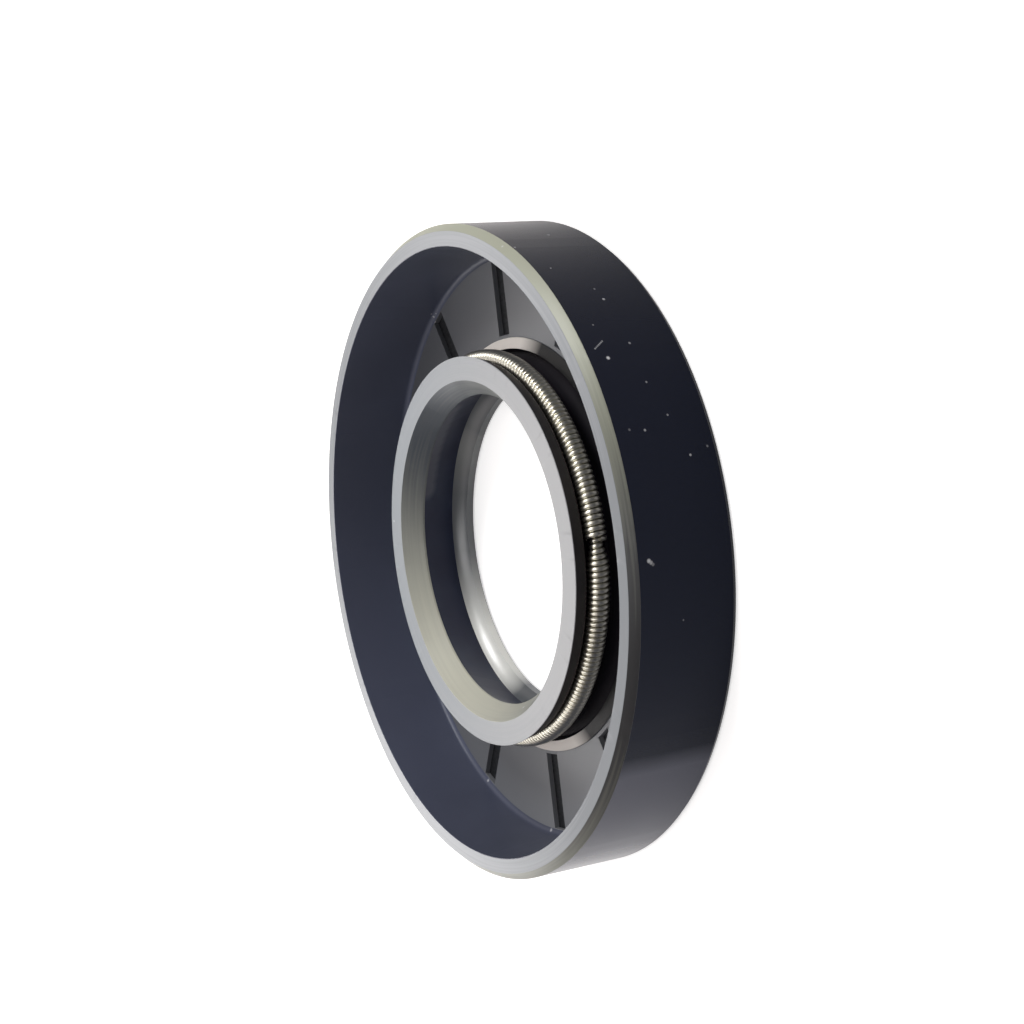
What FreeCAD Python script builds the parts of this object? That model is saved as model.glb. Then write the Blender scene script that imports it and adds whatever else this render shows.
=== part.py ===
import FreeCAD, Part
import os
import Sketcher

# Radial shaft seal with a garter spring, for a 30 mm shaft in a 60 mm housing bore.
# It lies on its air-side face: the Z axis is the shaft's axis, Z = 0 is the air-side face
# and the oil side, with the spring and the open cup, is up.
# Every size is in millimetres, and every angle is in degrees.
SIZES = {
    # outside
    "shaft_dia": 30.0,
    "housing_dia": 60.0,
    "seal_width": 10.0,
    # rim: the mitred outer edge of the oil side, and the chamfer of the air side
    "rim_width": 2.0,
    "lead_inset": 0.65,
    "lead_length": 0.7,
    "back_inset": 0.3,
    "back_length": 0.45,
    # cup: the wall inside the rim and the floor under the lip
    "wall_draft": 0.5,
    "floor_corner": 0.5,
    "floor_skin": 0.5,
    "back_skin": 0.9,
    # collar: the raised bead of rubber round the bore of the steel case
    "collar_width": 1.05,
    "collar_lap": 0.15,
    "collar_step": 0.15,
    "collar_rise": 0.5,
    # sealing lip
    "lip_interference": 0.55,
    "lip_recess": 2.0,
    "edge_depth": 1.75,
    "edge_land": 0.2,
    "oil_angle": 38.0,
    "air_angle": 22.5,
    "head_wall": 2.0,
    "head_overhang": 0.53,
    "head_undercut": 0.35,
    "groove_front_angle": 28.0,
    "groove_back_angle": 16.0,
    "hump_height": 0.22,
    "hump_width": 0.1,
    # waist: the thin section that the lip flexes on
    "waist_inset": 0.3,
    "waist_drop": 0.5,
    "waist_bow": 0.56,
    # dust lip
    "dust_root_height": 2.15,
    "dust_clearance": 0.05,
    "dust_land": 0.8,
    "dust_flare": 0.1,
    "dust_wall": 0.85,
    "dust_recess": 0.2,
    "dust_bow": 0.126,
    # annular recess in the air side, between the dust lip and the heel
    "recess_depth": 1.1,
    "recess_inner": 2.0,
    "recess_width": 1.6,
    "heel_slope": 1.0,
    # radial slots in the cup floor, open down to the steel case
    "slot_count": 12,
    "slot_width": 2.0,
    "slot_gap": 0.3,
    # steel case, pressed from sheet
    "case_thickness": 1.0,
    "case_cover": 0.65,
    "case_gap": 4.3,
    "case_top_gap": 1.2,
    "case_bend": 0.5,
    # garter spring, drawn as the tube that its close-wound coils fill
    "coil_dia": 2.04,
    "seat_clearance": 0.05,
    "spring_offset": 0.8,
    "nose_dia": 0.9,
    "nose_angle": 6.5,
    "joint_angle": 1.0,
}

# Radii and heights that several pieces share, as expressions on the sheet.
R_EDGE = "(Sizes.shaft_dia / 2 - Sizes.lip_interference)"
Z_EDGE = "(Sizes.seal_width - Sizes.lip_recess - Sizes.edge_depth)"
R_SEAT = "(Sizes.coil_dia / 2 + Sizes.seat_clearance)"
R_RING = f"({R_EDGE} + Sizes.head_wall + {R_SEAT})"
Z_RING = f"({Z_EDGE} - Sizes.spring_offset)"
R_CASE = "(Sizes.housing_dia / 2 - Sizes.case_cover)"
R_CASE_BORE = "(Sizes.shaft_dia / 2 + Sizes.case_gap)"
Z_FLANGE = "(Sizes.back_skin + Sizes.case_thickness)"
Z_FLOOR = f"({Z_FLANGE} + Sizes.floor_skin)"
R_WALL = "(Sizes.housing_dia / 2 - Sizes.rim_width)"
R_WALL_FOOT = f"({R_WALL} - Sizes.wall_draft)"
R_COLLAR = f"({R_CASE_BORE} + Sizes.collar_lap)"


def make_sheet(doc):
    """Put every driving size into the sheet, one row each, under its own alias."""
    sheet = doc.addObject("Spreadsheet::Sheet", "Sizes")
    for row, (name, value) in enumerate(SIZES.items(), start=1):
        sheet.set(f"A{row}", name)
        sheet.set(f"B{row}", str(value))
        sheet.setAlias(f"B{row}", name)
    doc.recompute()
    return sheet


def origin_plane(body, role):
    """Find one of the body's own origin planes by its role."""
    return next(item for item in body.Origin.OriginFeatures if item.Role == role)


def add_sketch(body, name, role):
    """Start a sketch on one of the body's own origin planes."""
    sketch = body.newObject("Sketcher::SketchObject", name)
    sketch.AttachmentSupport = [(origin_plane(body, role), "")]
    sketch.MapMode = "FlatFace"
    return sketch


def arc_between(start, end, radius):
    """Draw the arc from start to end: a positive radius turns left, a negative one right."""
    chord = end - start
    left = FreeCAD.Vector(-chord.y, chord.x, 0).normalize()
    offset = (radius ** 2 - (chord.Length / 2) ** 2) ** 0.5
    centre = (start + end) / 2 + left * (offset if radius > 0 else -offset)
    circle = Part.Circle(centre, FreeCAD.Vector(0, 0, 1), abs(radius))
    first, last = (start, end) if radius > 0 else (end, start)
    return Part.ArcOfCircle(circle, circle.parameter(first), circle.parameter(last))


def bow_radius(start, end, depth):
    """Radius, as an expression, of the arc that stands off the chord between two corners."""
    chord_squared = " + ".join(f"(({last}) - ({first}))^2" for first, last in zip(start, end))
    return f"(({chord_squared}) / (8 * {depth}) + {depth} / 2)"


def draw_outline(sketch, sheet, corners):
    """Draw a closed outline and bind each corner, and each arc's radius, to the sheet.

    A corner is a (radius, height) pair of expressions. A third one is the signed radius of
    the arc that starts there; without it the side to the next corner is straight.
    """
    points = [FreeCAD.Vector(*(sheet.evalExpression(place) for place in corner[:2])) for corner in corners]
    ends = []
    for index, corner in enumerate(corners):
        start, end = points[index], points[(index + 1) % len(points)]
        if len(corner) == 3:
            sketch.addGeometry(arc_between(start, end, sheet.evalExpression(corner[2])), False)
        else:
            sketch.addGeometry(Part.LineSegment(start, end), False)
        drawn = sketch.Geometry[index].StartPoint
        ends.append((1, 2) if drawn.distanceToPoint(start) < drawn.distanceToPoint(end) else (2, 1))
    for index, (across, up, *bend) in enumerate(corners):
        before = index - 1 if index else len(corners) - 1
        joint = Sketcher.Constraint("Coincident", before, ends[before][1], index, ends[index][0])
        sketch.addConstraint(joint)
        side, end = (before, ends[before][1]) if bend else (index, ends[index][0])
        for kind, value in (("DistanceX", across), ("DistanceY", up)):
            if sheet.evalExpression(value) == 0:
                sketch.addConstraint(Sketcher.Constraint("PointOnObject", side, end, -1))
                continue
            size = Sketcher.Constraint(kind, -1, 1, side, end, sheet.evalExpression(value))
            sketch.setExpression(f"Constraints[{sketch.addConstraint(size)}]", value)
        if bend:
            radius = f"abs({bend[0]})"
            size = Sketcher.Constraint("Radius", index, sheet.evalExpression(radius))
            sketch.setExpression(f"Constraints[{sketch.addConstraint(size)}]", radius)


def turn(body, kind, name, sketch):
    """Turn a sketch all the way round the shaft's axis, as a solid or as a groove."""
    feature = body.newObject(kind, name)
    feature.Profile = sketch
    feature.ReferenceAxis = (sketch, ["V_Axis"])
    feature.Angle = 360
    return feature


def case_outline():
    """Section of the pressed steel case: a flange, a bend and a cylinder."""
    r_inside = f"({R_CASE} - Sizes.case_thickness)"
    outer_bend = "(Sizes.case_bend + Sizes.case_thickness)"
    z_top = "(Sizes.seal_width - Sizes.case_top_gap)"
    return [
        (R_CASE_BORE, "Sizes.back_skin"),
        (f"{R_CASE} - {outer_bend}", "Sizes.back_skin", outer_bend),
        (R_CASE, f"Sizes.back_skin + {outer_bend}"),
        (R_CASE, z_top),
        (r_inside, z_top),
        (r_inside, f"{Z_FLANGE} + Sizes.case_bend", "-Sizes.case_bend"),
        (f"{r_inside} - Sizes.case_bend", Z_FLANGE),
        (R_CASE_BORE, Z_FLANGE),
    ]


def rubber_outline():
    """Section of the rubber moulding, from the air-side chamfer round by the oil side."""
    r_out = "(Sizes.housing_dia / 2)"
    front = "Sizes.seal_width"
    r_head = f"({R_RING} + Sizes.head_overhang)"
    z_face = "(Sizes.seal_width - Sizes.lip_recess)"
    # the groove's arc ends where its straight front wall touches it, and short of the hump
    touch = "((90 + Sizes.groove_front_angle) * 1 deg)"
    leave = "((270 - Sizes.groove_back_angle) * 1 deg)"
    r_touch = f"({R_RING} + {R_SEAT} * cos({touch}))"
    z_touch = f"({Z_RING} + {R_SEAT} * sin({touch}))"
    r_leave = f"({R_RING} + {R_SEAT} * cos({leave}))"
    z_leave = f"({Z_RING} + {R_SEAT} * sin({leave}))"
    # the head leans in under its face, down to the groove's mouth
    r_mouth = f"({r_head} - Sizes.head_undercut)"
    slope = "tan(Sizes.groove_front_angle * 1 deg)"
    z_mouth = f"({z_touch} + ({r_mouth} - {r_touch}) * {slope})"
    r_face = f"({R_EDGE} + Sizes.edge_depth * tan(Sizes.oil_angle * 1 deg))"
    z_cone = f"({Z_EDGE} - Sizes.edge_land)"
    root_run = f"({z_cone} - Sizes.dust_root_height)"
    r_root = f"({R_EDGE} + {root_run} * tan(Sizes.air_angle * 1 deg))"
    r_dust = "(Sizes.shaft_dia / 2 + Sizes.dust_clearance)"
    r_dust_end = f"({r_dust} + Sizes.dust_flare)"
    r_collar_inside = f"({R_COLLAR} - Sizes.collar_width)"
    z_collar = f"({Z_FLOOR} + Sizes.collar_rise)"
    r_recess = "(Sizes.shaft_dia / 2 + Sizes.recess_inner)"
    r_heel = f"({r_recess} + Sizes.recess_width)"
    # both ends of the waist's arc and of the dust lip's inner arc
    waist_foot = (f"{r_collar_inside} - Sizes.waist_inset", f"{z_collar} - Sizes.waist_drop")
    hump = (f"{r_leave} + Sizes.hump_width", f"{z_leave} - Sizes.hump_height")
    dust_root = (r_root, "Sizes.dust_root_height")
    dust_top = (r_dust, "Sizes.dust_recess + Sizes.dust_land")
    return [
        (f"{r_out} - Sizes.back_inset", "0"),
        (r_out, "Sizes.back_length"),
        (r_out, f"{front} - Sizes.lead_length"),
        (f"{r_out} - Sizes.lead_inset", front),
        (R_WALL, front),
        (R_WALL_FOOT, f"{Z_FLOOR} + Sizes.floor_corner", "-Sizes.floor_corner"),
        (f"{R_WALL_FOOT} - Sizes.floor_corner", Z_FLOOR),
        (R_COLLAR, Z_FLOOR),
        (R_COLLAR, f"{Z_FLOOR} + Sizes.collar_step"),
        (r_collar_inside, z_collar),
        (*waist_foot, "-" + bow_radius(waist_foot, hump, "Sizes.waist_bow")),
        hump,
        (r_leave, z_leave, f"-{R_SEAT}"),
        (r_touch, z_touch),
        (r_mouth, z_mouth),
        (r_head, z_face),
        (r_face, z_face),
        (R_EDGE, Z_EDGE),
        (R_EDGE, z_cone),
        (*dust_root, "-" + bow_radius(dust_root, dust_top, "Sizes.dust_bow")),
        dust_top,
        (r_dust_end, "Sizes.dust_recess"),
        (f"{r_dust_end} + Sizes.dust_wall", "Sizes.dust_recess"),
        (r_recess, "Sizes.recess_depth"),
        (r_heel, "Sizes.recess_depth"),
        (f"{r_heel} + Sizes.heel_slope", "0"),
    ]


def make_case(doc, sheet):
    """Steel case, which stiffens the rubber and holds it in the housing."""
    body = doc.addObject("PartDesign::Body", "case_body")
    body.Label = "steel_case"
    sketch = add_sketch(body, "case_section", "XZ_Plane")
    draw_outline(sketch, sheet, case_outline())
    turn(body, "PartDesign::Revolution", "case_turned", sketch)
    return body


def make_rubber(doc, sheet):
    """Rubber moulding: cover, cup, sealing lip and dust lip in one, bonded round the case."""
    body = doc.addObject("PartDesign::Body", "rubber_moulding")
    body.Label = "rubber_body"
    sketch = add_sketch(body, "rubber_section", "XZ_Plane")
    draw_outline(sketch, sheet, rubber_outline())
    turned = turn(body, "PartDesign::Revolution", "rubber_turned", sketch)
    # the space that the bonded case fills
    recess = add_sketch(body, "case_space_section", "XZ_Plane")
    draw_outline(recess, sheet, case_outline())
    space = turn(body, "PartDesign::Groove", "case_space", recess)
    doc.recompute()
    slots = add_slots(body, sheet)
    doc.recompute()
    if not slots.Shape.Volume < space.Shape.Volume < turned.Shape.Volume:
        raise RuntimeError("the case's space or the floor slots cut nothing")
    return body


def add_slots(body, sheet):
    """Radial slots in the cup floor, where the mould's ribs held the case in place."""
    sketch = add_sketch(body, "slot_outline", "XY_Plane")
    sketch.setExpression("AttachmentOffset.Base.z", Z_FLOOR)
    start = f"({R_COLLAR} + Sizes.slot_gap)"
    stop = f"({R_WALL_FOOT} - Sizes.floor_corner)"
    half = "(Sizes.slot_width / 2)"
    corners = [(start, f"-{half}"), (stop, f"-{half}"), (stop, half), (start, half)]
    draw_outline(sketch, sheet, corners)
    slot = body.newObject("PartDesign::Pocket", "slot")
    slot.Profile = sketch
    slot.setExpression("Length", "Sizes.floor_skin")
    pattern = body.newObject("PartDesign::PolarPattern", "slots")
    pattern.Originals = [slot]
    pattern.Axis = (origin_plane(body, "Z_Axis"), [""])
    pattern.Angle = 360
    pattern.setExpression("Occurrences", "Sizes.slot_count")
    body.Tip = pattern
    return pattern


def make_spring(doc):
    """Garter spring: a ring of close coils whose tapered nose is screwed into its other end."""
    # the ring runs from its open end, past the gap that the nose fills, round to the +X axis
    ring = doc.addObject("Part::Torus", "spring_ring")
    ring.setExpression("Radius1", R_RING)
    ring.setExpression("Radius2", "Sizes.coil_dia / 2")
    ring.setExpression("Angle3", "360 - Sizes.nose_angle")
    ring.setExpression("Placement.Rotation.Angle", "Sizes.nose_angle")
    # the nose starts there at the coils' full size and ends, narrower, inside the open end
    nose = doc.addObject("Part::Cone", "spring_nose")
    nose.setExpression("Radius1", "Sizes.coil_dia / 2")
    nose.setExpression("Radius2", "Sizes.nose_dia / 2")
    nose.setExpression("Height", f"{R_RING} * sin(Sizes.nose_angle * 1 deg) + Sizes.nose_dia / 4")
    nose.Placement.Rotation = FreeCAD.Rotation(FreeCAD.Vector(1, 0, 0), -90)
    nose.setExpression("Placement.Base.x", R_RING)
    spring = doc.addObject("Part::Fuse", "spring")
    spring.Label = "garter_spring"
    spring.Base = ring
    spring.Tool = nose
    # turned as a whole, so that the open end comes to the joint's own angle
    spring.setExpression("Placement.Rotation.Angle", "Sizes.joint_angle - Sizes.nose_angle")
    spring.setExpression("Placement.Base.z", Z_RING)
    return spring


def check(doc, pieces):
    """Stop if any object failed, or if a piece is not one sound solid."""
    for item in doc.Objects:
        if "Invalid" in item.State or "Error" in item.State:
            raise RuntimeError(f"{item.Label} failed: {item.State}")
    for piece in pieces:
        shape = piece.Shape
        if shape.isNull() or not shape.isValid() or len(shape.Solids) != 1:
            raise RuntimeError(f"{piece.Label} is not one sound solid")


def main():
    doc = FreeCAD.newDocument("radial_shaft_seal")
    sheet = make_sheet(doc)
    pieces = [make_case(doc, sheet), make_rubber(doc, sheet), make_spring(doc)]
    doc.recompute()
    check(doc, pieces)
    os.makedirs("parts", exist_ok=True)
    for piece in pieces:
        piece.Shape.exportStep(f"parts/{piece.Label}.step")
        box = piece.Shape.BoundBox
        print(f"{piece.Label}: {piece.Shape.Volume:.1f} mm3, height {box.ZMin:.2f} to {box.ZMax:.2f} mm")


main()
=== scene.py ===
import math

import bmesh
import bpy
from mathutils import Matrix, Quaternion, Vector


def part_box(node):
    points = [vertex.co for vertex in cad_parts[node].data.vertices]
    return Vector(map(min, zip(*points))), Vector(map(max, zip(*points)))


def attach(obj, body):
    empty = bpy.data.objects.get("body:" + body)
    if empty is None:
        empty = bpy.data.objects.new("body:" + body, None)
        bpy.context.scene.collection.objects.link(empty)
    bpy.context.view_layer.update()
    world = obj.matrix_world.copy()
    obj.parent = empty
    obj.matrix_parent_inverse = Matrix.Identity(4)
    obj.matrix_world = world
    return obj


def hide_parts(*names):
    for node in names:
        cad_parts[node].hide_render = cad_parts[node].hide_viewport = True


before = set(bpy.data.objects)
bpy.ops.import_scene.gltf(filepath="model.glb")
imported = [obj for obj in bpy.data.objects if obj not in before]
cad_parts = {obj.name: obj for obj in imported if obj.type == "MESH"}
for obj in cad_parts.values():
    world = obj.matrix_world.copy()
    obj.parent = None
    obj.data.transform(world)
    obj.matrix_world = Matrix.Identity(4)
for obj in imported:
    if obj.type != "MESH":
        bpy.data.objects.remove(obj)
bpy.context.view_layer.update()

# Radial shaft seal for a 30 mm shaft: rubber moulding, steel case and garter spring.
# Sizes below are in millimetres and angles in degrees; Blender's own unit is the metre.
mm = 0.001
print("frame loaded:", sorted(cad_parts))


def linearColour(text):
    # an sRGB hex colour as linear red, green and blue, with full alpha
    channels = [int(text[start:start + 2], 16) / 255 for start in (1, 3, 5)]
    return (*(c / 12.92 if c <= 0.04045 else ((c + 0.055) / 1.055) ** 2.4 for c in channels), 1.0)


def addNode(tree, kind, inputs=None, **settings):
    # one node: its settings first, then a link or a constant for each input
    node = tree.nodes.new(kind)
    for name, value in settings.items():
        setattr(node, name, value)
    for name, value in (inputs or {}).items():
        if isinstance(value, bpy.types.NodeSocket):
            tree.links.new(value, node.inputs[name])
        else:
            node.inputs[name].default_value = value
    return node


def direction(azimuth, elevation):
    # the unit vector that points there from the seal
    turn, rise = math.radians(azimuth), math.radians(elevation)
    return Vector((math.cos(rise) * math.cos(turn), math.cos(rise) * math.sin(turn), math.sin(rise)))


def newMaterial(name, **constants):
    # a Principled material whose constant sockets are set directly
    material = bpy.data.materials.new(name)
    material.use_nodes = True
    shader = material.node_tree.nodes["Principled BSDF"]
    for socket, value in constants.items():
        shader.inputs[socket.replace("_", " ")].default_value = value
    return material, material.node_tree, shader


# camera: the seal lies flat, and the picture is rolled until its axis points to the left
view = {
    "aim": (2.43, 3.27, 5.0),
    "distance": 165.45,
    "azimuth": 0.74,
    "elevation": 28.28,
    "roll": 96.81,
    "lens": 63.23,
    "clipStart": 1,
    "clipEnd": 10000,
}


def buildCamera():
    data = bpy.data.cameras.new("camera")
    data.lens = view["lens"]
    data.clip_start = view["clipStart"] * mm
    data.clip_end = view["clipEnd"] * mm
    camera = bpy.data.objects.new("camera", data)
    bpy.context.scene.collection.objects.link(camera)
    back = direction(view["azimuth"], view["elevation"])
    camera.location = (Vector(view["aim"]) + back * view["distance"]) * mm
    roll = Quaternion((0, 0, 1), -math.radians(view["roll"]))
    camera.rotation_mode = "QUATERNION"
    camera.rotation_quaternion = back.to_track_quat("Z", "Y") @ roll
    bpy.context.scene.camera = camera


buildCamera()
print("camera set")


# studio: a pale floor, a sky that is bright on one side and dark behind the camera, and three lamps
studio = {
    "floorRadius": 1500,
    "floorSides": 96,
    "floorColour": "#e9e7e6",
    "floorGlow": 0.62,  # lifts the pale floor to white where the camera sees it
    "mirrorGlow": (0.5, 0.0),  # the same where a gloss sees it, on one side of the seal and the other
    "mirrorReach": 30,  # how far out on either side that change is complete
    "skyColour": "#fff8f5",
    "skySide": (-0.85, -0.2, 0.42),
    "skyRange": (-0.1, 0.85),  # how far towards that side the sky starts and stops to brighten
    "skyLight": (0.12, 0.9),
    "skyGlow": 1.1,  # the sky is white where the camera sees it past the floor
    "lampDistance": 500,
    # light is what a lamp alone puts on a surface that faces it; 1 is white
    "lamps": {
        "soft lamp": {"azimuth": 82, "elevation": 40, "width": 150, "height": 150, "light": 0.42},
        "top light": {"azimuth": 0, "elevation": 70, "width": 240, "height": 540, "light": 0.31},
        "low window": {"azimuth": 198, "elevation": 15, "width": 620, "height": 190, "light": 0.75},
    },
}


def buildStudio():
    scene = bpy.context.scene
    scene.view_settings.view_transform = "Standard"
    world = bpy.data.worlds.new("studio sky")
    world.use_nodes = True
    tree, background = world.node_tree, world.node_tree.nodes["Background"]
    background.inputs["Color"].default_value = linearColour(studio["skyColour"])
    way = addNode(tree, "ShaderNodeTexCoord").outputs["Generated"]
    side = Vector(studio["skySide"]).normalized()
    toward = addNode(tree, "ShaderNodeVectorMath", {0: way, 1: side}, operation="DOT_PRODUCT")
    (start, stop), (dark, bright) = studio["skyRange"], studio["skyLight"]
    light = addNode(tree, "ShaderNodeMapRange", {
        "Value": toward.outputs["Value"], "From Min": start, "From Max": stop,
        "To Min": dark, "To Max": bright}, interpolation_type="SMOOTHSTEP")
    rays = addNode(tree, "ShaderNodeLightPath")
    seen = addNode(tree, "ShaderNodeMath", {0: rays.outputs["Is Camera Ray"], 1: studio["skyGlow"]},
                   operation="MULTIPLY")
    light = addNode(tree, "ShaderNodeMath", {0: seen.outputs[0], 1: light.outputs["Result"]},
                    operation="MAXIMUM")
    tree.links.new(light.outputs[0], background.inputs["Strength"])
    scene.world = world

    distance = studio["lampDistance"] * mm
    for name, made in studio["lamps"].items():
        lamp = bpy.data.lights.new(name, "AREA")
        lamp.shape = "RECTANGLE"
        lamp.size, lamp.size_y = made["width"] * mm, made["height"] * mm
        lamp.energy = made["light"] * math.pi * math.pi * distance ** 2  # watts for that light from there
        holder = bpy.data.objects.new(name, lamp)
        scene.collection.objects.link(holder)
        back = direction(made["azimuth"], made["elevation"])
        holder.location = back * distance
        holder.rotation_euler = back.to_track_quat("Z", "Y").to_euler()

    # the floor: matt and pale, with a glow that only camera, transmission and glossy rays see
    material, tree, shader = newMaterial(
        "matt paper floor", Roughness=1.0, Specular_IOR_Level=0.0, Emission_Color=(1, 1, 1, 1),
        Base_Color=linearColour(studio["floorColour"]))
    rays = addNode(tree, "ShaderNodeLightPath")
    seen = addNode(tree, "ShaderNodeMath", {
        0: rays.outputs["Is Camera Ray"], 1: rays.outputs["Is Transmission Ray"]}, operation="MAXIMUM")
    seen = addNode(tree, "ShaderNodeMath", {0: seen.outputs[0], 1: studio["floorGlow"]},
                   operation="MULTIPLY")
    place = addNode(tree, "ShaderNodeTexCoord").outputs["Object"]
    place = addNode(tree, "ShaderNodeSeparateXYZ", {"Vector": place})
    (near, far), reach = studio["mirrorGlow"], studio["mirrorReach"] * mm
    mirrored = addNode(tree, "ShaderNodeMapRange", {
        "Value": place.outputs["Y"], "From Min": -reach, "From Max": reach, "To Min": near, "To Max": far})
    glow = addNode(tree, "ShaderNodeMath", {0: rays.outputs["Is Glossy Ray"], 1: mirrored.outputs["Result"],
                                            2: seen.outputs[0]}, operation="MULTIPLY_ADD")
    tree.links.new(glow.outputs[0], shader.inputs["Emission Strength"])
    mesh = bpy.data.meshes.new("floor")
    shape = bmesh.new()
    bmesh.ops.create_circle(shape, cap_ends=True, segments=studio["floorSides"],
                            radius=studio["floorRadius"] * mm)
    shape.to_mesh(mesh)
    shape.free()
    mesh.materials.append(material)
    floor = bpy.data.objects.new("floor", mesh)
    scene.collection.objects.link(floor)


buildStudio()
print("studio built")


# rubber moulding: section sizes as in the part, and the small roundings of its edges
rubber = {
    "rimWidth": 2.0,
    "leadInset": 0.65,
    "leadLength": 0.7,
    "backInset": 0.3,
    "backLength": 0.45,
    "wallDraft": 0.5,
    "floorCorner": 0.5,
    "floorHeight": 2.4,
    "collarRadius": 19.45,
    "collarWidth": 1.05,
    "collarStep": 0.15,
    "collarRise": 0.5,
    "edgeRadius": 14.45,
    "edgeHeight": 6.25,
    "edgeLand": 0.2,
    "lipRecess": 2.0,
    "oilAngle": 38.0,
    "airAngle": 22.5,
    "headOverhang": 0.53,
    "headUndercut": 0.35,
    "grooveClearance": 0.05,
    "grooveFrontAngle": 28.0,
    "grooveBackAngle": 16.0,
    "humpHeight": 0.22,
    "humpWidth": 0.1,
    "waistInset": 0.3,
    "waistDrop": 0.5,
    "waistBow": 0.56,
    "dustRootHeight": 2.15,
    "dustRadius": 15.05,
    "dustLand": 0.8,
    "dustFlare": 0.1,
    "dustWall": 0.85,
    "dustRecess": 0.2,
    "dustBow": 0.126,
    "recessDepth": 1.1,
    "recessRadius": 17.0,
    "recessWidth": 1.6,
    "heelSlope": 1.0,
    "slotCount": 12,
    "slotWidth": 2.0,
    "slotGap": 0.3,
    "edgeRound": 0.06,  # mould and trim edges are never razor sharp
    "lipRound": 0.03,
    "collarFootRound": 0.03,
    "collarTopRound": 0.04,
    "slotRound": 0.05,
    "roundSteps": 3,
    "roundShare": 0.4,  # a rounding never takes more than this of the stretch beside it
    "cornerSteps": 6,
    "waistSteps": 12,
    "grooveSteps": 14,
    "dustSteps": 10,
    "columnsBetweenSlots": 28,
    "mergeDistance": 0.0005,
    "sharpAngle": 40,
}
quarterBow = 1 - math.sqrt(0.5)  # how far a quarter circle stands off its chord, as a share of its radius
slotBottom = 4  # the last step of a slot's rounded edge, after which the slot is open to the steel


def arcThrough(start, end, bow, steps):
    # points on an arc that stands off its chord: to the left, into the rubber, for a positive bow
    chord = (end[0] - start[0], end[1] - start[1])
    length = math.hypot(*chord)
    radius = length ** 2 / (8 * abs(bow)) + abs(bow) / 2
    half = math.asin(length / 2 / radius)
    along = (chord[0] / length, chord[1] / length)
    side = (-along[1] * math.copysign(1, bow), along[0] * math.copysign(1, bow))
    points = []
    for step in range(steps + 1):
        angle = half * (2 * step / steps - 1)
        across = radius * math.sin(angle) + length / 2
        out = radius * math.cos(angle) - radius * math.cos(half)
        points.append(tuple(start[axis] + along[axis] * across + side[axis] * out for axis in (0, 1)))
    return points


def roundCorner(before, corner, after, radius):
    # a small arc in place of a sharp corner
    ways = [Vector((p[0] - corner[0], p[1] - corner[1])) for p in (before, after)]
    turn, share, steps = ways[0].angle(ways[1]), rubber["roundShare"], rubber["roundSteps"]
    cut = min(radius / math.tan(turn / 2), ways[0].length * share, ways[1].length * share)
    radius = cut * math.tan(turn / 2)
    inward = (ways[0].normalized() + ways[1].normalized()).normalized()
    middle = Vector(corner) + inward * radius / math.sin(turn / 2)
    first = Vector(corner) + ways[0].normalized() * cut - middle
    last = Vector(corner) + ways[1].normalized() * cut - middle
    spokes = [first.slerp(last, step / steps).normalized() for step in range(steps + 1)]
    return [tuple(middle + spoke * radius) for spoke in spokes]


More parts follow.
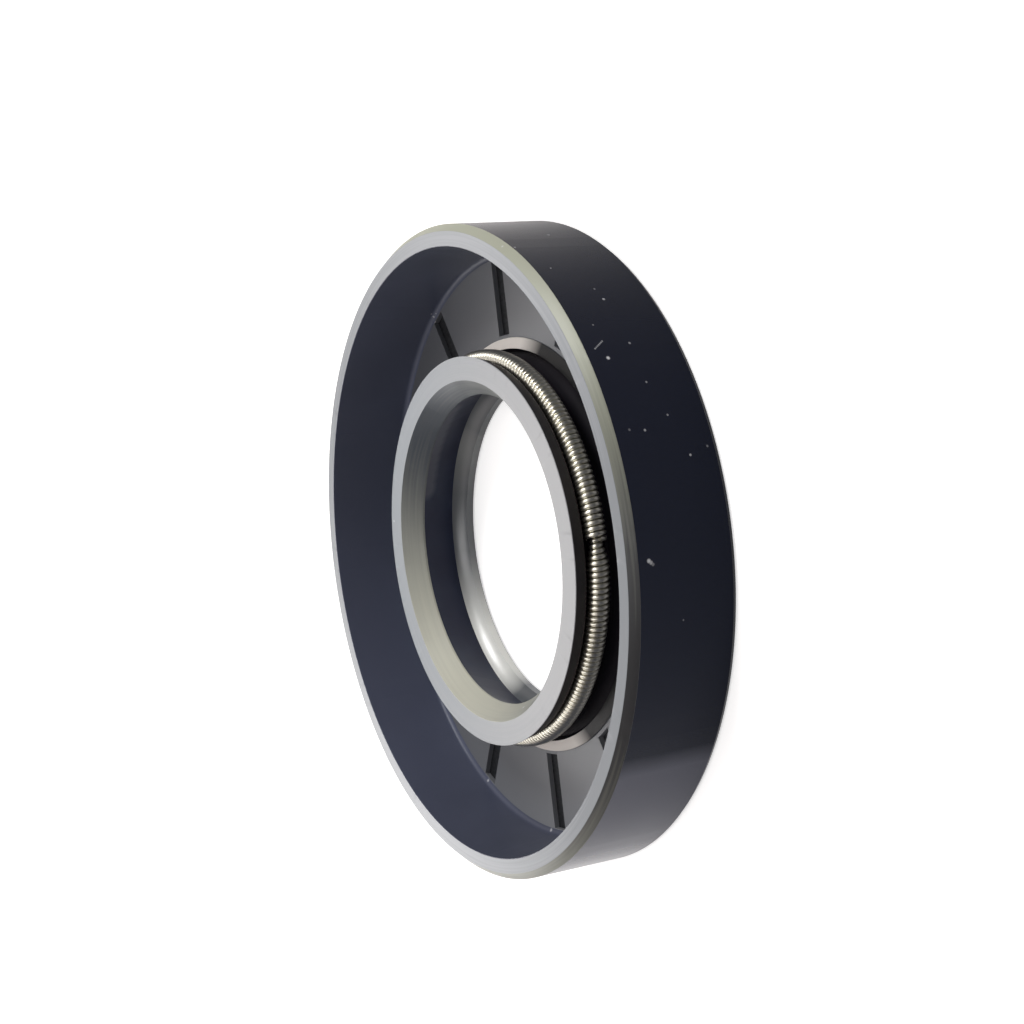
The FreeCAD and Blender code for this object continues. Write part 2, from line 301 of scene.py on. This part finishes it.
def rubberSection():
    # the outline as (radius, height, surface of the stretch that follows, rounding)
    size = rubber
    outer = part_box("rubber_body")[1]
    radius, top = outer.x / mm, outer.z / mm
    springLow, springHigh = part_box("garter_spring")
    coil = (springHigh.z - springLow.z) / 2 / mm
    ring = (springHigh.y / mm - coil, (springHigh.z + springLow.z) / 2 / mm)
    seat = coil + size["grooveClearance"]

    touch, leave = 90 + size["grooveFrontAngle"], 270 - size["grooveBackAngle"]
    groove, steps = [], size["grooveSteps"]
    for step in range(steps + 1):
        angle = math.radians(leave + (touch - leave) * step / steps)
        groove.append((ring[0] + seat * math.cos(angle), ring[1] + seat * math.sin(angle)))
    headRadius = ring[0] + size["headOverhang"]
    mouthRadius = headRadius - size["headUndercut"]
    mouth = groove[-1][1] + (mouthRadius - groove[-1][0]) * math.tan(math.radians(size["grooveFrontAngle"]))
    face = top - size["lipRecess"]
    faceRadius = size["edgeRadius"] + (face - size["edgeHeight"]) * math.tan(math.radians(size["oilAngle"]))
    airTop = size["edgeHeight"] - size["edgeLand"]
    rootRun = airTop - size["dustRootHeight"]
    rootRadius = size["edgeRadius"] + rootRun * math.tan(math.radians(size["airAngle"]))
    dustRoot = (rootRadius, size["dustRootHeight"])
    dustTop = (size["dustRadius"], size["dustRecess"] + size["dustLand"])
    wall = radius - size["rimWidth"]
    foot = wall - size["wallDraft"]
    floor, corner = size["floorHeight"], size["floorCorner"]
    collarInside = size["collarRadius"] - size["collarWidth"]
    collarTop = floor + size["collarRise"]
    waistFoot = (collarInside - size["waistInset"], collarTop - size["waistDrop"])
    hump = (groove[0][0] + size["humpWidth"], groove[0][1] - size["humpHeight"])
    dustEnd = size["dustRadius"] + size["dustFlare"]
    heel = size["recessRadius"] + size["recessWidth"]

    small = size["edgeRound"]
    rows = [
        (radius - size["backInset"], 0, "cover", small),
        (radius, size["backLength"], "cover", small),
        (radius, top - size["leadLength"], "lead", small),
        (radius - size["leadInset"], top, "rim", small),
        (wall, top, "wall", small),
    ]
    cornerArc = arcThrough((foot, floor + corner), (foot - corner, floor), corner * quarterBow,
                           size["cornerSteps"])
    rows += [(*point, "wall", 0) for point in cornerArc[:-1]]
    rows += [
        (*cornerArc[-1], "floor", 0),
        (size["collarRadius"], floor, "floor", size["collarFootRound"]),
        (size["collarRadius"], floor + size["collarStep"], "collar", small),
        (collarInside, collarTop, "waist", size["collarTopRound"]),
    ]
    waist = arcThrough(waistFoot, hump, size["waistBow"], size["waistSteps"])
    rows += [(*point, "waist", 0) for point in waist + groove]
    rows += [
        (mouthRadius, mouth, "head", small),
        (headRadius, face, "trimmed", small),
        (faceRadius, face, "bevel", small),
        (size["edgeRadius"], size["edgeHeight"], "bevel", size["lipRound"]),
        (size["edgeRadius"], airTop, "air", size["lipRound"]),
    ]
    dust = arcThrough(dustRoot, dustTop, size["dustBow"], size["dustSteps"])
    rows += [(*point, "dust", 0) for point in dust]
    rows += [
        (dustEnd, size["dustRecess"], "air", small),
        (dustEnd + size["dustWall"], size["dustRecess"], "air", small),
        (size["recessRadius"], size["recessDepth"], "air", small),
        (heel, size["recessDepth"], "air", small),
        (heel + size["heelSlope"], 0, "air", small),
    ]
    return rows


def roundedRows(rows):
    # every corner that has a rounding becomes a short arc; the rest stay as they are
    out = []
    for index, (across, up, surface, rounding) in enumerate(rows):
        before, after = rows[index - 1][:2], rows[(index + 1) % len(rows)][:2]
        if rounding:
            out += [(*point, surface, 0) for point in roundCorner(before, (across, up), after, rounding)]
        else:
            out.append((across, up, surface, 0))
    return out


def slotStages():
    # how far each step of a slot's rounded edge stands out from its wall, and how far it drops
    depth = rubber["floorHeight"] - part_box("steel_case")[0].z / mm - steelCase["thickness"]
    steps = [math.radians(angle) for angle in (90, 60, 30, 0)]
    reach = [rubber["slotRound"] * (1 - math.cos(angle)) for angle in steps]
    drop = [rubber["slotRound"] * (1 - math.sin(angle)) for angle in steps]
    return reach + [0], drop + [depth]


def withSlotRows(rows):
    # adds the rows in the floor where the slots start and end, with the stage of their edge
    reach, _ = slotStages()
    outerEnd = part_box("rubber_body")[1].x / mm - rubber["rimWidth"]
    outerEnd -= rubber["wallDraft"] + rubber["floorCorner"]
    innerEnd = rubber["collarRadius"] + rubber["slotGap"]
    wallOut, wallIn = outerEnd - rubber["slotRound"], innerEnd + rubber["slotRound"]
    place = next(i for i, row in enumerate(rows) if abs(row[0] - outerEnd) < 1e-6) + 1
    floor = rubber["floorHeight"]
    extra = [(wallOut + reach[stage], floor, "floor", stage) for stage in range(1, slotBottom + 1)]
    extra += [(wallIn - reach[stage], floor, "floor", stage) for stage in range(slotBottom, -1, -1)]
    return rows[:place] + extra + rows[place:], (wallOut, wallIn)


steelCase = {
    "thickness": 1.0,
    "bend": 0.5,
    "bore": 19.3,
    "outerBendSteps": 8,
    "innerBendSteps": 6,
    "tones": ("#26282b", "#34363a"),
    "metallic": 0.7,
    "roughness": 0.55,
    "crystalSize": 0.25,  # phosphate crystals; the real ones are a tenth of that and would not show
}


def caseSpaceRows(slotEnds):
    # the space in the rubber that the steel case fills, open where the slots come down to it
    low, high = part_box("steel_case")
    outside, bottom, top = high.x / mm, low.z / mm, high.z / mm
    thick, bend = steelCase["thickness"], steelCase["bend"]
    inside, outerBend = outside - thick, thick + bend
    rows = [(steelCase["bore"], bottom)]
    rows += arcThrough((outside - outerBend, bottom), (outside, bottom + outerBend), -outerBend * quarterBow,
                       steelCase["outerBendSteps"])
    rows += [(outside, top), (inside, top)]
    rows += arcThrough((inside, bottom + outerBend), (inside - bend, bottom + thick), bend * quarterBow,
                       steelCase["innerBendSteps"])
    rows = [(*row, "wall", 0) for row in rows]
    rows += [(end, bottom + thick, "wall", slotBottom) for end in slotEnds]
    rows.append((steelCase["bore"], bottom + thick, "wall", 0))
    return rows


def slotColumns():
    # one sector's columns: inside the slot, down its wall, over its rounded edge, then evenly apart
    reach, _ = slotStages()
    half = rubber["slotWidth"] / 2
    side = [("offset", half + reach[stage], stage) for stage in range(slotBottom, -1, -1)]
    count = rubber["columnsBetweenSlots"] // 2
    side += [("share", step / count, 0) for step in range(1, count + 1)]
    other = [(kind, -value, stage) for kind, value, stage in reversed(side[:-1])]
    return other + [("offset", 0.0, slotBottom)] + side


def columnAngle(kind, value, radius):
    # a column's angle from the middle of its slot, where its row has the given radius
    edge = rubber["slotWidth"] / 2 + rubber["slotRound"]
    if kind == "offset":
        return math.asin(value / radius)
    start = math.asin(edge / radius)
    return math.copysign(start, value) + value * (math.pi / rubber["slotCount"] - start)


def turnedGrid(rows, floorDrop):
    # turns closed rows about the axis: vertices, faces and each face's surface
    columns = slotColumns()
    _, drop = slotStages()
    points, faces, surfaces = [], [], []
    total = len(columns) * rubber["slotCount"]
    for radius, height, _, rowStage in rows:
        angles = [columnAngle(kind, value, radius) for kind, value, _ in columns]
        for sector in range(rubber["slotCount"]):
            middle = 2 * math.pi * sector / rubber["slotCount"]
            for angle, (_, _, columnStage) in zip(angles, columns):
                turn, low = middle + angle, height - drop[min(rowStage, columnStage)] * floorDrop
                points.append((radius * math.cos(turn) * mm, radius * math.sin(turn) * mm, low * mm))
    stages = [stage for _, _, stage in columns] * rubber["slotCount"]
    for row, (_, _, surface, rowStage) in enumerate(rows):
        after = (row + 1) % len(rows)
        for column in range(total):
            beside = (column + 1) % total
            corners = (rowStage, rows[after][3], stages[column], stages[beside])
            if min(corners) == slotBottom:
                continue  # here the steel shows
            faces.append((row * total + column, row * total + beside,
                          after * total + beside, after * total + column))
            surfaces.append(surface)
    return points, faces, surfaces


def finishedObject(name, mesh):
    # sharp edges by angle, and normals that let the wide faces stay flat beside their roundings
    mesh.shade_smooth()
    mesh.set_sharp_from_angle(angle=math.radians(rubber["sharpAngle"]))
    piece = bpy.data.objects.new(name, mesh)
    bpy.context.scene.collection.objects.link(piece)
    weighting = piece.modifiers.new("weighted normals", "WEIGHTED_NORMAL")
    weighting.keep_sharp = True
    evaluated = piece.evaluated_get(bpy.context.evaluated_depsgraph_get())
    finished = bpy.data.meshes.new_from_object(evaluated)
    piece.modifiers.clear()
    piece.data = finished
    return piece


def buildRubber(materials):
    rows, slotEnds = withSlotRows(roundedRows(rubberSection()))
    points, faces, surfaces = turnedGrid(rows, 1)
    spacePoints, spaceFaces, spaceSurfaces = turnedGrid(caseSpaceRows(slotEnds), 0)
    faces += [tuple(corner + len(points) for corner in face) for face in spaceFaces]
    mesh = bpy.data.meshes.new("rubber_moulding")
    mesh.from_pydata(points + spacePoints, [], faces)
    names = list(materials)
    for material in materials.values():
        mesh.materials.append(material)
    indices = [names.index(surface) for surface in surfaces + spaceSurfaces]
    mesh.polygons.foreach_set("material_index", indices)
    shape = bmesh.new()
    shape.from_mesh(mesh)
    bmesh.ops.remove_doubles(shape, verts=shape.verts, dist=rubber["mergeDistance"] * mm)
    bmesh.ops.recalc_face_normals(shape, faces=shape.faces)
    openEdges = sum(not edge.is_manifold for edge in shape.edges)
    print("rubber:", len(shape.faces), "faces,", openEdges, "open edges")
    shape.to_mesh(mesh)
    shape.free()
    piece = finishedObject("rubber_moulding", mesh)
    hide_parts("rubber_body")
    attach(piece, "root")


# nitrile rubber, moulded in a polished steel tool: near-black, a little blue, with a soft gloss;
# where it was trimmed or ground it is matt and a pale grey, and the narrow faces have a silky sheen,
# partly real gloss and partly a painted highlight in their pale second tone.
# "paintedLight" is painted light and shade: how the second tone comes and goes round the ring where the
# light falls, as a level, then the weights of x, y, xx - yy and 2xy; "marks" is how much the finer pattern
# plays about that
rubberPlain = {"tint": "#ffffff", "ior": 1.5, "grain": 0.1, "marks": 0.5, "turned": False, "paintedLight": None}
rubberLook = {
    # painted reflection: the pale second tone comes in on the cover's -y side as a reflection of the ground
    # beneath
    "cover": {"tones": ("#0b1020", "#585a66"), "roughness": 0.2, "gloss": 0.14, "tint": "#e3eaff",
              "paintedLight": (-11.0, 0.0, -19.0, 0.0, 0.0)},
    # painted light and shade: the wall is paler towards -x and darker towards +x, and its tones are lifted
    # well above the cover's, the same rubber, as painted light
    "wall": {"tones": ("#353945", "#565b6f"), "roughness": 0.38, "gloss": 0.4,
             "paintedLight": (0.35, -0.8, -0.1, 0.0, 0.0)},
    # painted light and shade: the cup floor is paler towards +x and darker towards -x
    "floor": {"tones": ("#56585d", "#7c7e82"), "roughness": 0.38, "gloss": 0.4, "marks": 0.2,
              "paintedLight": (0.77, 0.93, -0.29, 0.0, 0.0)},
    # painted light and shade: the collar is pale only towards +y and -y and near-black round the rest, where
    # the lip shades it
    "collar": {"tones": ("#0c0d10", "#e2dcd6"), "roughness": 0.45, "gloss": 0.4, "grain": 0.3, "marks": 0.2,
               "paintedLight": (-3.45, 0.0, -0.2, -5.0, 0.0)},
    "waist": {"tones": ("#1b191e", "#242127"), "roughness": 0.6, "gloss": 0.1},
    "head": {"tones": ("#383537", "#464240"), "roughness": 0.55, "gloss": 0.3},
    # painted light and shade: the rim's face turns paler and darker in turn round the ring with the light
    "rim": {"tones": ("#75797e", "#b4b7bb"), "roughness": 0.55, "gloss": 0.4, "grain": 0.3, "turned": True,
            "paintedLight": (0.36, -0.22, -0.06, -0.3, 0.31)},
    # painted light: the lip's trimmed face is paler towards +x
    "trimmed": {"tones": ("#8a9096", "#a6a7a9"), "roughness": 0.55, "gloss": 0.4, "grain": 0.3,
                "turned": True, "paintedLight": (0.55, 0.6, -0.05, 0.0, 0.0)},
    # painted highlight: the lead chamfer turns pale mostly towards +y, where the lamp's sheen falls, and
    # stays dark towards +x and -x
    "lead": {"tones": ("#222225", "#a2a594"), "roughness": 0.42, "gloss": 0.5, "ior": 1.6, "turned": True,
             "marks": 0.5, "paintedLight": (0.78, 0.0, 0.95, -0.71, 0.0)},
    # painted light and highlight: the bevel is paler where the lamp's sheen falls, towards -x and -y, and
    # darker where it is shaded
    "bevel": {"tones": ("#4d5259", "#e2e1cf"), "roughness": 0.42, "gloss": 0.15, "turned": True,
              "marks": 0.15, "paintedLight": (0.23, -0.17, -0.21, -0.05, 0.19)},
    "air": {"tones": ("#20243a", "#2a3044"), "roughness": 0.35, "gloss": 0.15},
    # painted highlight: the dust lip's near-white second tone comes in only over a short stretch towards -x
    # and -y
    "dust": {"tones": ("#565b60", "#f0f1eb"), "roughness": 0.33, "gloss": 0.5, "ior": 2.1, "marks": 0.3,
             "paintedLight": (-10.1, -15.2, -0.2, -5.1, 0.4)},
}
# dust, nicks, a mould nub drawn only as its painted highlight, and a soft pale patch under the lip, each
# given: ring angle, radius, height, width and how pale
rubberSpecks = {
    "cover": [
        (63.7, 30, 4.2, 0.3, 0.4), (50.7, 30, 7.7, 0.2, 0.4), (44.4, 30, 5.2, 0.24, 0.25),
        (41.8, 30, 5.0, 0.3, 0.6), (36.3, 30, 7.4, 0.2, 0.3), (29.7, 30, 7.5, 0.36, 1.0),
        (32.2, 30, 4.9, 0.26, 0.4), (24.9, 30, 4.9, 0.22, 0.4), (19.1, 30, 4.0, 0.22, 0.4),
        (17.0, 30, 6.5, 0.26, 0.5), (17.3, 30, 7.9, 0.26, 0.2), (12.4, 30, 2.9, 0.25, 0.6),
        (13.5, 30, 1.1, 0.24, 0.3), (-12.4, 30, 5.3, 0.2, 0.2), (58.5, 30, 9.0, 0.25, 0.4),
        # the nub: its pale spots are a painted highlight on a small mould nub
        (-2.7, 30, 8.3, 0.4, 0.8), (-3.0, 30, 8.12, 0.38, 0.6), (-3.3, 30, 7.95, 0.32, 0.3),  # the nub
        *((31.6 + 0.22 * step, 30, 8.3 - 0.16 * step, 0.18, 0.5) for step in range(7)),  # a short scratch
    ],
    "lead": [(60.5, 29.7, 9.6, 0.25, 0.7)],
    "wall": [(120.8, 27.3, 2.6, 0.3, 0.6), (120.2, 27.45, 2.85, 0.2, 0.6), (119.6, 27.25, 2.55, 0.2, 0.6),
             (-120.3, 27.2, 2.5, 0.35, 0.7), (-93.5, 27.2, 2.5, 0.4, 0.7)],
    "floor": [(121.6, 26.9, 2.4, 0.25, 0.6), (-119.6, 26.85, 2.4, 0.2, 0.5)],
    "trimmed": [(168.4, 17.5, 8.0, 0.25, 0.8)],
    "bevel": [(-74.5, 15.0, 6.95, 0.3, 0.8)],
    "air": [(114 + 4 * step, 14.6, 5.75, 2.6, 0.09) for step in range(11)],  # a soft pale patch under the lip
}
rubberGrain = {
    "speckColour": "#c9cbcf",
    "speckEdge": (0.55, 0.25),  # how far out a spot ends and is full, as shares of its width
    "cloudRange": (0.4, 0.6),  # where the noise turns from the first tone to the second
    "cloudSize": 9.0,  # slow change of tone, from the way the rubber flowed
    "grainSize": 0.12,  # ground grain; the real one is half that and would not show
    "streakLength": 14.0,
    "streakWidth": 0.16,
    "bumpDepth": 0.02,
}


def objectNoise(tree, size, detail=2.0):
    # noise whose blobs are about the given size in millimetres
    place = addNode(tree, "ShaderNodeTexCoord").outputs["Object"]
    return addNode(tree, "ShaderNodeTexNoise", {
        "Vector": place, "Scale": 1 / (size * mm), "Detail": detail})


def turningMarks(tree):
    # noise that changes fast across the ring and slowly along it, as a trimming knife leaves it
    place = addNode(tree, "ShaderNodeTexCoord").outputs["Object"]
    parts = addNode(tree, "ShaderNodeSeparateXYZ", {"Vector": place})
    flat = addNode(tree, "ShaderNodeCombineXYZ", {"X": parts.outputs["X"], "Y": parts.outputs["Y"]})
    radius = addNode(tree, "ShaderNodeVectorMath", {0: flat.outputs["Vector"]}, operation="LENGTH")
    slimness = rubberGrain["streakLength"] / rubberGrain["streakWidth"]
    across = addNode(tree, "ShaderNodeMath", {0: radius.outputs["Value"], 1: slimness}, operation="MULTIPLY")
    marks = addNode(tree, "ShaderNodeCombineXYZ", {
        "X": parts.outputs["X"], "Y": parts.outputs["Y"], "Z": across.outputs[0]})
    return addNode(tree, "ShaderNodeTexNoise", {
        "Vector": marks.outputs["Vector"], "Scale": 1 / (rubberGrain["streakLength"] * mm), "Detail": 3.0})


def paintedLightTone(tree, terms):
    # share of the second tone round the ring: painted light and shade
    place = addNode(tree, "ShaderNodeTexCoord").outputs["Object"]
    flat = addNode(tree, "ShaderNodeVectorMath", {0: place, 1: (1, 1, 0)}, operation="MULTIPLY")
    unit = addNode(tree, "ShaderNodeVectorMath", {0: flat.outputs["Vector"]}, operation="NORMALIZE")
    unit = unit.outputs["Vector"]
    level, wayX, wayY, evenly, aslant = terms
    once = addNode(tree, "ShaderNodeVectorMath", {0: unit, 1: (wayX, wayY, 0)}, operation="DOT_PRODUCT")
    turned = addNode(tree, "ShaderNodeCombineXYZ")
    parts = addNode(tree, "ShaderNodeSeparateXYZ", {"Vector": unit})
    for socket, first, second in (("X", evenly, aslant), ("Y", aslant, -evenly)):
        part = addNode(tree, "ShaderNodeMath", {0: parts.outputs["X"], 1: first}, operation="MULTIPLY")
        both = addNode(tree, "ShaderNodeMath", {0: parts.outputs["Y"], 1: second, 2: part.outputs[0]},
                       operation="MULTIPLY_ADD")
        tree.links.new(both.outputs[0], turned.inputs[socket])
    twice = addNode(tree, "ShaderNodeVectorMath", {0: unit, 1: turned.outputs["Vector"]},
                    operation="DOT_PRODUCT")
    total = addNode(tree, "ShaderNodeMath", {0: once.outputs["Value"], 1: twice.outputs["Value"]},
                    operation="ADD")
    return addNode(tree, "ShaderNodeMath", {0: total.outputs[0], 1: level}, operation="ADD").outputs[0]


def mixedColour(tree, factor, first, second, low, high):
    # the first colour up to the low factor, the second from the high one on, and a mix between
    share = addNode(tree, "ShaderNodeMapRange", {"Value": factor, "From Min": low, "From Max": high})
    return addNode(tree, "ShaderNodeMix", {"Factor": share.outputs["Result"], "A": linearColour(first),
                                           "B": linearColour(second)}, data_type="RGBA").outputs["Result"]


def withSpecks(tree, colour, specks):
    # the pale specks on a colour, each a soft round spot about its own place
    place = addNode(tree, "ShaderNodeTexCoord").outputs["Object"]
    share, (end, full) = 0.0, rubberGrain["speckEdge"]
    for angle, radius, height, width, paleness in specks:
        turn = math.radians(angle)
        spot = Vector((radius * math.cos(turn), radius * math.sin(turn), height)) * mm
        away = addNode(tree, "ShaderNodeVectorMath", {0: place, 1: spot}, operation="DISTANCE")
        near = addNode(tree, "ShaderNodeMapRange", {
            "Value": away.outputs["Value"], "From Min": width * end * mm, "From Max": width * full * mm,
            "To Max": paleness})
        share = addNode(tree, "ShaderNodeMath", {0: near.outputs["Result"], 1: share}, operation="MAXIMUM")
        share = share.outputs[0]
    pale = linearColour(rubberGrain["speckColour"])
    return addNode(tree, "ShaderNodeMix", {"Factor": share, "A": colour, "B": pale},
                   data_type="RGBA").outputs["Result"]


def rubberSurface(name, special):
    look = {**rubberPlain, **special}
    material, tree, shader = newMaterial(
        "nitrile " + name, Roughness=look["roughness"], Specular_IOR_Level=look["gloss"],
        Specular_Tint=linearColour(look["tint"]), IOR=look["ior"])
    pattern = turningMarks(tree) if look["turned"] else objectNoise(tree, rubberGrain["cloudSize"])
    share, (low, high) = pattern.outputs["Fac"], rubberGrain["cloudRange"]
    # painted light and shade: the second tone follows where light falls round the ring, with the finer
    # pattern about it
    if look["paintedLight"]:
        # the noise is about a half on average, which the range takes off again
        marks = look["marks"]
        share = addNode(tree, "ShaderNodeMath", {0: share, 1: marks, 2: paintedLightTone(tree, look["paintedLight"])},
                        operation="MULTIPLY_ADD").outputs[0]
        low, high = marks / 2, marks / 2 + 1
    colour = mixedColour(tree, share, *look["tones"], low, high)
    if name in rubberSpecks:
        colour = withSpecks(tree, colour, rubberSpecks[name])
    tree.links.new(colour, shader.inputs["Base Color"])
    fine = objectNoise(tree, rubberGrain["grainSize"], 3.0)
    bump = addNode(tree, "ShaderNodeBump", {
        "Height": fine.outputs["Fac"], "Strength": look["grain"],
        "Distance": rubberGrain["bumpDepth"] * mm})
    tree.links.new(bump.outputs["Normal"], shader.inputs["Normal"])
    return material


buildRubber({name: rubberSurface(name, look) for name, look in rubberLook.items()})
print("rubber built")


# phosphated deep-drawing steel: dull dark grey, seen only at the bottom of the slots
def dressCase():
    material, tree, shader = newMaterial("phosphated steel", Metallic=steelCase["metallic"],
                                         Roughness=steelCase["roughness"])
    crystals = objectNoise(tree, steelCase["crystalSize"], 4.0)
    colour = mixedColour(tree, crystals.outputs["Fac"], *steelCase["tones"], *rubberGrain["cloudRange"])
    tree.links.new(colour, shader.inputs["Base Color"])
    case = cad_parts["steel_case"]
    case.data.materials.clear()
    case.data.materials.append(material)


dressCase()
print("case dressed")


# garter spring: drawn steel wire wound close on a small coil, bent to a ring and screwed together;
# bright and smooth, so each turn shows the lights as a short line
spring = {
    "wire": 0.44,
    "turns": 234,
    "pointsPerTurn": 18,
    "wireSides": 9,
    "noseWire": 0.30,  # radius that the nose's coils wind on where they enter the other end
    "noseAngle": 6.5,
    "jointAngle": 1.0,
    "noseInside": 4.0,  # the angle over which the nose lies inside the other end
    "colour": "#f0ecde",
    "roughness": 0.29,
}


def springTree(material):
    tree = bpy.data.node_groups.new("garter spring coils", "GeometryNodeTree")
    names = ("Ring Radius", "Coil Radius", "Nose Radius", "Wire Radius", "Height", "Turns", "Joint Angle",
             "Nose Angle", "Inside Angle")
    for name in names:
        tree.interface.new_socket(name, in_out="INPUT", socket_type="NodeSocketFloat")
    for name in ("Points", "Wire Sides"):
        tree.interface.new_socket(name, in_out="INPUT", socket_type="NodeSocketInt")
    tree.interface.new_socket("Geometry", in_out="OUTPUT", socket_type="NodeSocketGeometry")
    given = addNode(tree, "NodeGroupInput").outputs

    def number(operation, first, second=0.0, third=0.0):
        # one step of arithmetic
        step = addNode(tree, "ShaderNodeMath", {0: first, 1: second, 2: third}, operation=operation)
        return step.outputs[0]

    line = addNode(tree, "GeometryNodeCurvePrimitiveLine")
    line = addNode(tree, "GeometryNodeResampleCurve", {
        "Curve": line.outputs["Curve"], "Count": given["Points"]})
    along = addNode(tree, "GeometryNodeSplineParameter").outputs["Factor"]
    # the angle gone through since the open end, and where that is on the ring
    whole = number("ADD", math.tau, given["Inside Angle"])
    gone = number("MULTIPLY", along, whole)
    turn = number("ADD", gone, given["Joint Angle"])
    winding = number("MULTIPLY", gone, number("MULTIPLY", given["Turns"], -1.0))
    tapered = addNode(tree, "ShaderNodeMapRange", {
        "Value": gone, "From Min": number("SUBTRACT", math.tau, given["Nose Angle"]), "From Max": math.tau,
        "To Min": given["Coil Radius"], "To Max": given["Nose Radius"]}).outputs["Result"]
    across = number("MULTIPLY_ADD", number("COSINE", winding), tapered, given["Ring Radius"])
    place = addNode(tree, "ShaderNodeCombineXYZ", {
        "X": number("MULTIPLY", across, number("COSINE", turn)),
        "Y": number("MULTIPLY", across, number("SINE", turn)),
        "Z": number("MULTIPLY_ADD", number("SINE", winding), tapered, given["Height"])})
    wire = addNode(tree, "GeometryNodeSetPosition", {
        "Geometry": line.outputs["Curve"], "Position": place.outputs["Vector"]})
    section = addNode(tree, "GeometryNodeCurvePrimitiveCircle", {
        "Resolution": given["Wire Sides"], "Radius": given["Wire Radius"]})
    tube = addNode(tree, "GeometryNodeCurveToMesh", {
        "Curve": wire.outputs["Geometry"], "Profile Curve": section.outputs["Curve"], "Fill Caps": True})
    smooth = addNode(tree, "GeometryNodeSetShadeSmooth", {"Geometry": tube.outputs["Mesh"]})
    real = addNode(tree, "GeometryNodeRealizeInstances", {"Geometry": smooth.outputs["Geometry"]})
    dressed = addNode(tree, "GeometryNodeSetMaterial", {
        "Geometry": real.outputs["Geometry"], "Material": material})
    addNode(tree, "NodeGroupOutput", {"Geometry": dressed.outputs["Geometry"]})
    return tree


def buildSpring():
    low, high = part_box("garter_spring")
    coil = (high.z - low.z) / 2
    wire = spring["wire"] / 2 * mm
    material, _, _ = newMaterial("drawn spring steel", Metallic=1.0, Roughness=spring["roughness"],
                                 Base_Color=linearColour(spring["colour"]))
    tree = springTree(material)
    piece = bpy.data.objects.new("garter_spring_coils", bpy.data.meshes.new("garter_spring_coils"))
    bpy.context.scene.collection.objects.link(piece)
    modifier = piece.modifiers.new("coils", "NODES")
    modifier.node_group = tree
    sizes = {
        "Ring Radius": high.y - coil,
        "Coil Radius": coil - wire,
        "Nose Radius": spring["noseWire"] * mm,
        "Wire Radius": wire,
        "Height": (high.z + low.z) / 2,
        "Turns": float(spring["turns"]),
        "Joint Angle": math.radians(spring["jointAngle"]),
        "Nose Angle": math.radians(spring["noseAngle"]),
        "Inside Angle": math.radians(spring["noseInside"]),
        "Points": spring["turns"] * spring["pointsPerTurn"],
        "Wire Sides": spring["wireSides"],
    }
    sockets = {item.name: item.identifier for item in tree.interface.items_tree if item.in_out == "INPUT"}
    for name, value in sizes.items():
        modifier[sockets[name]] = value
    evaluated = piece.evaluated_get(bpy.context.evaluated_depsgraph_get())
    piece.data = bpy.data.meshes.new_from_object(evaluated)
    piece.modifiers.clear()
    print("spring:", len(piece.data.polygons), "faces")
    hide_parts("garter_spring")
    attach(piece, "root")


buildSpring()
print("spring built")
